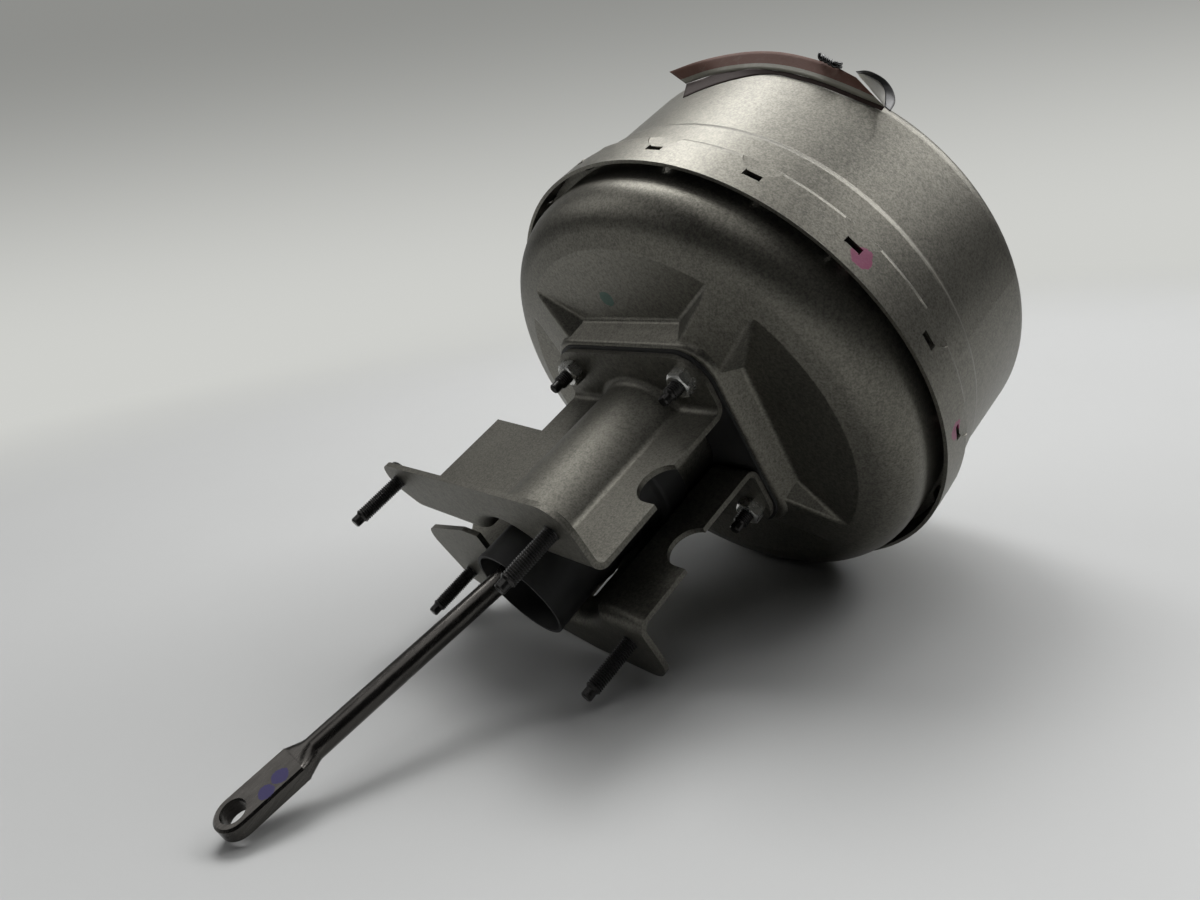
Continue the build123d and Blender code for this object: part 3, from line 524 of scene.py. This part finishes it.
def grid_faces(rows: int, columns: int, closed: bool) -> list[tuple[int, int, int, int]]:
    """Quads of a grid of vertices, row by row, closed round or open."""
    last = columns if closed else columns - 1
    return [(r * columns + c, r * columns + (c + 1) % columns,
             (r + 1) * columns + (c + 1) % columns, (r + 1) * columns + c)
            for r in range(rows - 1) for c in range(last)]


def spline(points: Sequence[Point], steps: int) -> list[Vector]:
    """Smooth line through points.

    Args:
        points: Points that it passes, in order.
        steps: Stretches between each two of them.

    Returns:
        Points along the line, both ends included.
    """
    knots = [Vector(p) for p in points]
    knots = [2 * knots[0] - knots[1], *knots, 2 * knots[-1] - knots[-2]]
    line: list[Vector] = []
    for a, b, c, d in zip(knots, knots[1:], knots[2:], knots[3:]):
        for i in range(steps):
            t = i / steps
            line.append(0.5 * (2 * b + (c - a) * t + (2 * a - 5 * b + 4 * c - d) * t * t
                               + (3 * b - a - 3 * c + d) * t ** 3))
    return [*line, knots[-2]]


def ribbon(name: str, low: Sequence[Point], high: Sequence[Point], thickness: float,
           front: Sequence[bpy.types.Material], back: bpy.types.Material) -> bpy.types.Object:
    """Thin band between two edges.

    Args:
        name: The piece's name.
        low: Points of one edge.
        high: As many points of the other edge.
        thickness: The band's thickness.
        front: Materials of its face, from the low edge to the high one.
        back: Material of its other face.

    Returns:
        The band.
    """
    columns = 7
    rows = list(zip(spline(low, 7), spline(high, 7)))
    points = [a.lerp(b, c / (columns - 1)) for a, b in rows for c in range(columns)]
    faces = [face[::-1] for face in grid_faces(len(rows), columns, False)]
    piece = mesh_piece(name, points, faces, front[0])
    mesh = piece.data
    for material in front[1:]:
        mesh.materials.append(material)
    mesh.materials.append(back)
    share = (columns - 1) / len(front)
    for i, face in enumerate(mesh.polygons):
        face.material_index = int((i % (columns - 1)) / share)
    solid = piece.modifiers.new("thickness", "SOLIDIFY")
    solid.thickness = thickness
    solid.material_offset = len(front)
    return piece


def wire(name: str, points: Sequence[Vector], radius: float,
         material: bpy.types.Material) -> bpy.types.Object:
    """Round wire along a line.

    Args:
        name: The piece's name.
        points: Its centre line.
        radius: Its radius.
        material: Its finish.

    Returns:
        The wire.
    """
    sides = 8
    ring: list[Vector] = []
    for before, at, after in zip([points[0], *points], points, [*points[1:], points[-1]]):
        along = (after - before).normalized()
        across = along.cross(Vector((0.31, 0.22, 0.92))).normalized()
        up = along.cross(across)
        ring += [at + radius * (across * math.cos(a) + up * math.sin(a))
                 for a in (2 * math.pi * i / sides for i in range(sides))]
    faces: list[Sequence[int]] = [*grid_faces(len(points), sides, True)]
    faces += [range(sides - 1, -1, -1), range(len(ring) - sides, len(ring))]
    return mesh_piece(name, ring, faces, material)


# ---- stage -------------------------------------------------------------------------
@dataclass(frozen=True)
class Lamp:
    """A square soft lamp, placed in metres from the middle of the table."""

    name: str
    across: float
    forward: float
    height: float
    width: float
    power: float


@dataclass
class Studio:
    """Pale seamless table, soft lamps and the camera."""

    eye: Point = (0.33461, -0.37116, 0.24049)
    right: Point = (0.62975, 0.62358, -0.46321)
    down: Point = (0.12383, -0.66927, -0.73263)
    ahead: Point = (-0.76686, 0.40402, -0.49869)
    lens: float = 25.6
    table_normal: Point = (0.0, 0.461, 0.888)
    table_height: float = -0.1730
    table_tone: Colour = (0.56, 0.565, 0.56)
    near_tone: Colour = (0.62, 0.625, 0.60)
    far_tone: Colour = (0.27, 0.272, 0.26)
    reach: float = 14.0
    wall: float = 2.2
    sweep: float = 1.0
    sweep_steps: int = 16
    fade: tuple[float, float] = (0.7, 1.6)
    dusk: tuple[float, float] = (0.03, 0.95)
    lamp_aim: Point = (0.0, -0.12, 0.0)
    world_tone: Colour = (0.80, 0.81, 0.82)
    world_strength: float = 0.02
    lamps: tuple[Lamp, ...] = (Lamp("key", -0.35, 0.75, 2.2, 1.0, 24.0),
                               Lamp("overhead", 0.6, 0.9, 2.2, 1.6, 24.0),
                               Lamp("right", 1.6, 0.3, 1.5, 1.2, 22.0),
                               Lamp("left", -1.7, 0.3, 1.3, 1.2, 5.0),
                               Lamp("front", -0.2, -0.6, 2.2, 1.4, 5.0))

    def camera(self) -> None:
        """Place the camera."""
        data = bpy.data.cameras.new("camera")
        data.sensor_width = 36.0
        data.lens = self.lens
        data.clip_start = 0.01
        data.clip_end = 60.0
        camera = bpy.data.objects.new("camera", data)
        bpy.context.scene.collection.objects.link(camera)
        x, y, z = Vector(self.right), -Vector(self.down), -Vector(self.ahead)
        turn = Matrix((x, y, z)).transposed().to_4x4()
        camera.matrix_world = Matrix.Translation(Vector(self.eye)) @ turn
        bpy.context.scene.camera = camera

    def basis(self) -> tuple[Vector, Vector, Vector]:
        """Directions on the table: to the right, away from the camera, and up."""
        up = Vector(self.table_normal).normalized()
        away = Vector(self.ahead)
        away = (away - up * away.dot(up)).normalized()
        return away.cross(up), away, up

    def table(self) -> None:
        """Lay the one-sided table, which sweeps up behind the object into a glowing background, painted
        darker towards the top as painted shade.
        """
        side, away, up = self.basis()
        middle = up * self.table_height
        profile = [(-self.reach, 0.0)]
        for step in range(self.sweep_steps + 1):
            angle = math.pi / 2 * step / self.sweep_steps
            profile.append((self.wall - self.sweep * (1.0 - math.sin(angle)),
                            self.sweep * (1.0 - math.cos(angle))))
        profile.append((self.wall, self.reach))
        points = [middle + side * (i * self.reach) + away * k + up * h for k, h in profile for i in (-1, 1)]
        g = Graph("table_card")
        tone = g.mix(g.noise(3.0, 3.0), tuple(0.97 * c for c in self.table_tone), self.table_tone)
        card = g.node("ShaderNodeBsdfPrincipled", None,
                      {"Base Color": tone, "Roughness": 0.42 + 0.1 * g.noise(8.0)})
        x, y, z = g.axes()
        height = x * up.x + y * up.y + z * up.z - self.table_height
        # Painted shade: for the camera the far card glows from near_tone low down to far_tone high up.
        plain = g.node("ShaderNodeEmission", None,
                       {"Color": g.mix(height.between(*self.dusk), self.near_tone, self.far_tone)})
        distance = g.node("ShaderNodeVectorMath", {"operation": "LENGTH"}, {0: g.place()}, "Value")
        seen = g.node("ShaderNodeLightPath", output="Is Camera Ray")
        faded = g.node("ShaderNodeMixShader", None,
                       {0: seen * distance.between(*self.fade), 1: card, 2: plain})
        behind = g.node("ShaderNodeNewGeometry", output="Backfacing")
        clear = g.node("ShaderNodeBsdfTransparent")
        joined = g.node("ShaderNodeMixShader", None, {0: behind, 1: faded, 2: clear})
        mesh_piece("table", points, grid_faces(len(profile), 2, False), g.close(joined))

    def hang(self, lamp: Lamp) -> None:
        """Hang a lamp over the table, turned towards the object.

        Args:
            lamp: The lamp's name, place, size and power.
        """
        side, away, up = self.basis()
        place = side * lamp.across + away * lamp.forward + up * (self.table_height + lamp.height)
        data = bpy.data.lights.new(lamp.name, "AREA")
        data.shape = "SQUARE"
        data.size = lamp.width
        data.energy = lamp.power
        light = bpy.data.objects.new(lamp.name, data)
        bpy.context.scene.collection.objects.link(light)
        turn = (Vector(self.lamp_aim) - place).to_track_quat("-Z", "Y").to_matrix().to_4x4()
        light.matrix_world = Matrix.Translation(place) @ turn

    def world(self) -> None:
        """Light everything evenly, with a plain background for the camera."""
        world = bpy.data.worlds.new("studio")
        world.use_nodes = True
        bpy.context.scene.world = world
        tree = world.node_tree
        tree.nodes.clear()
        even = tree.nodes.new("ShaderNodeBackground")
        even.inputs["Color"].default_value = (*self.world_tone, 1.0)
        even.inputs["Strength"].default_value = self.world_strength
        shown = tree.nodes.new("ShaderNodeBackground")
        shown.inputs["Color"].default_value = (*self.far_tone, 1.0)
        shown.inputs["Strength"].default_value = 1.0
        ray = tree.nodes.new("ShaderNodeLightPath")
        mix = tree.nodes.new("ShaderNodeMixShader")
        out = tree.nodes.new("ShaderNodeOutputWorld")
        tree.links.new(ray.outputs["Is Camera Ray"], mix.inputs[0])
        tree.links.new(even.outputs[0], mix.inputs[1])
        tree.links.new(shown.outputs[0], mix.inputs[2])
        tree.links.new(mix.outputs[0], out.inputs["Surface"])

    def build(self) -> None:
        """Set the whole stage."""
        self.camera()
        self.table()
        for lamp in self.lamps:
            self.hang(lamp)
        self.world()
        bpy.context.scene.view_settings.view_transform = "Standard"
        LOG.info("stage set")


# ---- dressing of the carried-over solids ------------------------------------------
def dress(material: bpy.types.Material, *nodes: str) -> None:
    """Give solids a finish.

    Args:
        material: The finish.
        nodes: Names of the solids.
    """
    for name in nodes:
        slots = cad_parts[name].data.materials
        slots.clear()
        slots.append(material)
        LOG.info("%s dressed in %s", name, material.name)


# ---- sub-assemblies ------------------------------------------------------------------
class Coat(Enum):
    """Tones of the coated sheet metal."""

    SHELL = (0.165, 0.158, 0.134)
    BRACKET = (0.160, 0.154, 0.132)


@dataclass
class Shells:
    """The two pressed shells with their paint dabs."""

    green: Dab = Dab((-0.0080, -0.1405, 0.0775), 0.0046, (0.008, 0.085, 0.055))
    magenta: tuple[Dab, ...] = (Dab((0.1181, -0.1023, 0.0694), 0.0056, (0.33, 0.04, 0.14)),
                                Dab((0.1344, -0.1021, -0.0265), 0.0050, (0.26, 0.01, 0.10)))
    step_y: float = -0.0705

    def build(self) -> None:
        """Dress both shells."""
        dress(GrainedZinc("zinc_rear", Coat.SHELL.value, (self.green,)).material(), "rear_shell")
        front = GrainedZinc("zinc_front", Coat.SHELL.value, self.magenta, self.step_y)
        dress(front.material(), "front_shell")


@dataclass
class Bracket:
    """The two bracket halves, their gasket and the nuts that hold them."""

    def build(self) -> None:
        """Dress the bracket."""
        dress(GrainedZinc("zinc_bracket", Coat.BRACKET.value, roughness=0.50).material(),
              "bracket_upper", "bracket_lower")
        dress(BlackRubber("gasket_rubber").material(), "gasket")
        dress(BrightZinc("zinc_nut", (0.74, 0.74, 0.71), 0.24).material(),
              *[f"booster_nut_{i}" for i in range(4)])


@dataclass(frozen=True)
class ThreadedStud:
    """A pressed stud with a flat head, a collar, a rolled thread and a dog point."""

    node: str
    head_r: float
    head_y: float
    face_y: float
    radius: float = 0.004
    collar_r: float = 0.0044
    head_t: float = 0.0025
    pitch: float = 0.00125
    depth: float = 0.00062
    point_length: float = 0.0054
    columns: int = 24

    def _profile(self, length: float) -> list[tuple[float, float]]:
        """Radius along the stud, from its head to its point."""
        face = abs(self.face_y - self.head_y)
        thread_end = length - self.point_length
        neck = self.radius - 0.0011
        shape = [(0.0, 0.0), (0.0, self.head_r - 0.0005), (0.0005, self.head_r),
                 (self.head_t - 0.0007, self.head_r), (self.head_t, self.head_r - 0.0008),
                 (self.head_t, self.collar_r), (face, self.collar_r), (face, self.radius - 0.0004)]
        steps = round((thread_end - face) / self.pitch * 8)
        shape += [(face + (thread_end - face) * i / steps, self.radius) for i in range(1, steps)]
        shape += [(thread_end, self.radius - 0.0003), (length - 0.0044, neck), (length - 0.0007, neck),
                  (length, neck - 0.0006), (length, 0.0)]
        return shape

    def _cut(self, station: float, angle: float, start: float, end: float) -> float:
        """Depth of the thread at a place on the shank."""
        fade = min(1.0, max(0.0, (station - start) / self.pitch), max(0.0, (end - station) / self.pitch))
        phase = (station / self.pitch + angle / (2 * math.pi)) % 1.0
        flank = abs(2.0 * phase - 1.0)
        return self.depth * fade * min(1.0, max(0.0, 1.35 * flank - 0.12))

    def build(self, material: bpy.types.Material) -> None:
        """Make the stud and let it stand for its node.

        Args:
            material: The stud's finish.
        """
        low, high = (Vector(c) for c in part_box(self.node))
        out = 1.0 if self.face_y > self.head_y else -1.0
        centre = (low + high) / 2
        length = high.y - low.y
        start = abs(self.face_y - self.head_y)
        end = length - self.point_length
        profile = self._profile(length)
        points: list[Point] = []
        for station, radius in profile:
            for i in range(self.columns):
                angle = 2 * math.pi * i / self.columns
                cut = self._cut(station, angle, start, end) if radius == self.radius else 0.0
                points.append((centre.x + (radius - cut) * math.cos(angle), self.head_y + out * station,
                               centre.z + (radius - cut) * math.sin(angle)))
        piece = mesh_piece(f"{self.node}_threaded", points,
                           grid_faces(len(profile), self.columns, True), material, smooth=False)
        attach(piece, "booster")
        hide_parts(self.node)
        LOG.info("%s threaded", self.node)


@dataclass
class Studs:
    """All studs of the booster and of its bracket."""

    firewall_head_r: float = 0.010
    inner_head_r: float = 0.008
    booster_head_y: float = -0.1477
    booster_face_y: float = -0.154
    firewall_head_y: float = -0.2555
    firewall_face_y: float = -0.261
    master_head_y: float = -0.0068
    master_face_y: float = 0.0

    def build(self) -> None:
        """Make every stud."""
        black = BlackOxide("stud_black").material()
        for i in range(4):
            ThreadedStud(f"firewall_stud_{i}", self.firewall_head_r, self.firewall_head_y,
                         self.firewall_face_y).build(black)
            ThreadedStud(f"booster_stud_{i}", self.inner_head_r, self.booster_head_y,
                         self.booster_face_y).build(black)
        for i in range(2):
            ThreadedStud(f"master_stud_{i}", self.inner_head_r, self.master_head_y,
                         self.master_face_y).build(black)


@dataclass
class Rod:
    """The pedal push rod, the boot that it stands in and the tail's filter."""

    marks: tuple[Dab, ...] = (Dab((0.0102, -0.4002, 0.0352), 0.0036, (0.020, 0.012, 0.10)),
                              Dab((0.0118, -0.4074, 0.0358), 0.0034, (0.020, 0.012, 0.10)))
    incline: float = -7.5

    def build(self) -> None:
        """Dress the rod and what surrounds it."""
        steel = BarSteel("rod_steel", (0.085, 0.080, 0.074), 0.26, self.incline, self.marks)
        dress(steel.material(), "push_rod")
        dress(BlackRubber("boot_rubber").material(), "boot")
        dress(Felt("filter_felt").material(), "air_filter", "silencer")


@dataclass
class Inside:
    """Everything that the shells hold, and the fittings on the hidden front."""

    def build(self) -> None:
        """Dress the inner pieces."""
        dress(BrightZinc("plate_steel", (0.42, 0.42, 0.40), 0.36).material(), "front_plate", "rear_plate",
              "divider", "rear_piston_plate", "front_piston_plate", "poppet_retainer", "output_rod_clip",
              "front_seal_ring")
        dress(BlackRubber("seal_rubber").material(), "rear_diaphragm", "front_diaphragm", "divider_seal",
              "rear_seal", "front_seal", "grommet", "poppet", "reaction_disc")
        dress(MouldedResin("resin_dark").material(), "valve_body", "rear_bearing", "check_valve")
        dress(BarSteel("turned_steel", (0.24, 0.235, 0.225), 0.26).material(),
              "output_rod", "adjusting_screw", "valve_key")
        dress(BarSteel("spring_steel", (0.20, 0.20, 0.20), 0.30).material(), "return_spring",
              "plunger_spring", "poppet_spring")
        dress(BarSteel("plunger_alloy", (0.62, 0.62, 0.60), 0.32).material(), "plunger")


@dataclass
class PaperTag:
    """Bare paper strip arched over the front shell, its wire and a small curled label."""

    low: tuple[Point, ...] = ((-0.0260, -0.0118, 0.1304), (0.0004, -0.0182, 0.1330),
                              (0.0182, -0.0185, 0.1317), (0.0344, -0.0183, 0.1285),
                              (0.0496, -0.0190, 0.1234), (0.0640, -0.0199, 0.1166),
                              (0.0778, -0.0201, 0.1079), (0.0912, -0.0176, 0.0968))
    high: tuple[Point, ...] = ((-0.0402, -0.0058, 0.1376), (-0.0134, -0.0110, 0.1398),
                               (0.0054, -0.0097, 0.1385), (0.0225, -0.0086, 0.1358),
                               (0.0388, -0.0087, 0.1316), (0.0540, -0.0095, 0.1255),
                               (0.0680, -0.0118, 0.1191), (0.0790, -0.0140, 0.1120))
    # under_low and under_high bound a dark sheet under the strip: partly the paper's fold, partly painted
    # shadow of the strip on the shell.
    under_low: tuple[Point, ...] = ((-0.0083, -0.0354, 0.1312), (0.0016, -0.0318, 0.1315),
                                    (0.0112, -0.0280, 0.1310), (0.0214, -0.0242, 0.1297),
                                    (0.0313, -0.0209, 0.1277), (0.0413, -0.0200, 0.1250),
                                    (0.0490, -0.0207, 0.1221), (0.0633, -0.0214, 0.1154),
                                    (0.0770, -0.0216, 0.1068), (0.0902, -0.0191, 0.0958))
    under_high: tuple[Point, ...] = ((-0.0260, -0.0114, 0.1302), (-0.0100, -0.0150, 0.1316),
                                     (0.0004, -0.0180, 0.1328), (0.0130, -0.0183, 0.1321),
                                     (0.0270, -0.0182, 0.1304), (0.0425, -0.0184, 0.1257),
                                     (0.0495, -0.0188, 0.1231), (0.0639, -0.0197, 0.1163),
                                     (0.0777, -0.0199, 0.1076), (0.0911, -0.0174, 0.0965))
    curl_out: tuple[Point, ...] = ((0.0793, -0.0131, 0.1142), (0.0820, -0.0095, 0.1122),
                                   (0.0858, -0.0085, 0.1093), (0.0906, -0.0097, 0.1055),
                                   (0.0950, -0.0134, 0.1015), (0.0981, -0.0191, 0.0985),
                                   (0.0990, -0.0260, 0.0976))
    curl_mid: tuple[Point, ...] = ((0.0775, -0.0098, 0.1121), (0.0797, -0.0085, 0.1105),
                                   (0.0830, -0.0081, 0.1080), (0.0866, -0.0087, 0.1050),
                                   (0.0898, -0.0118, 0.1022), (0.0922, -0.0170, 0.1000),
                                   (0.0940, -0.0218, 0.0983))
    curl_in: tuple[Point, ...] = ((0.0761, -0.0074, 0.1099), (0.0787, -0.0092, 0.1080),
                                  (0.0818, -0.0112, 0.1056), (0.0848, -0.0134, 0.1031),
                                  (0.0878, -0.0154, 0.1006), (0.0902, -0.0173, 0.0983),
                                  (0.0916, -0.0186, 0.0970))
    sheet: float = 0.0003
    wire_r: float = 0.00080
    knot: tuple[Point, ...] = ((0.0618, -0.0112, 0.1252), (0.0712, -0.0150, 0.1206))

    def _knot(self) -> list[list[Vector]]:
        """Centre lines of the twisted pair of wires."""
        start, end = (Vector(p) for p in self.knot)
        along = (end - start).normalized()
        across = along.cross(Vector((0.0, 1.0, 0.0))).normalized()
        up = along.cross(across)
        lines: list[list[Vector]] = []
        for strand in range(2):
            line: list[Vector] = []
            for i in range(37):
                angle = math.pi * strand + 2 * math.pi * 2.0 * i / 36
                spread = 0.0008 + 0.0006 * max(0.0, 1.0 - i / 9)
                offset = spread * (across * math.cos(angle) + up * math.sin(angle))
                line.append(start.lerp(end, i / 36) + offset)
            foot = line[-1] - 0.004 * up - 0.002 * across
            lines.append(line + [line[-1].lerp(foot, t / 4) for t in range(1, 5)])
        return lines

    def build(self) -> None:
        """Make the strip, the label and the wire."""
        printed = Paper("paper_print", (0.140, 0.062, 0.042), (0.19, 0.125, 0.095), 0.75).material()
        # Dark paper for the sheet under the strip: painted shadow.
        shaded = Paper("paper_painted_shadow", (0.030, 0.014, 0.010), (0.05, 0.03, 0.022), 0.8).material()
        margin = Paper("paper_margin", (0.25, 0.24, 0.19), (0.34, 0.32, 0.27)).material()
        pale = Paper("paper_pale", (0.88, 0.86, 0.80), (0.80, 0.77, 0.70), 0.7).material()
        black = Paper("label_black", (0.018, 0.018, 0.020), (0.05, 0.05, 0.05), 0.4).material()
        steel = BarSteel("tie_wire", (0.10, 0.10, 0.10), 0.32).material()
        pieces = [ribbon("paper_strip", self.low, self.high, self.sheet,
                         (margin, printed, printed), pale),
                  ribbon("paper_fold_and_painted_shadow", self.under_low, self.under_high, self.sheet, (shaded,), shaded),
                  ribbon("curled_label", self.curl_mid, self.curl_out, self.sheet, (black,), black),
                  ribbon("curled_label_inside", self.curl_in, self.curl_mid, self.sheet, (pale,), black)]
        pieces += [wire(f"tie_wire_{i}", line, self.wire_r, steel) for i, line in enumerate(self._knot())]
        for piece in pieces:
            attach(piece, "booster")
            LOG.info("%s placed", piece.name)


def main() -> None:
    """Build the scene, sub-assembly by sub-assembly."""
    logging.basicConfig(level=logging.INFO, format="%(message)s")
    Studio().build()
    for assembly in (Shells(), Bracket(), Studs(), Rod(), Inside(), PaperTag()):
        assembly.build()
        LOG.info("%s built", type(assembly).__name__)


if __name__ == "__main__":
    main()
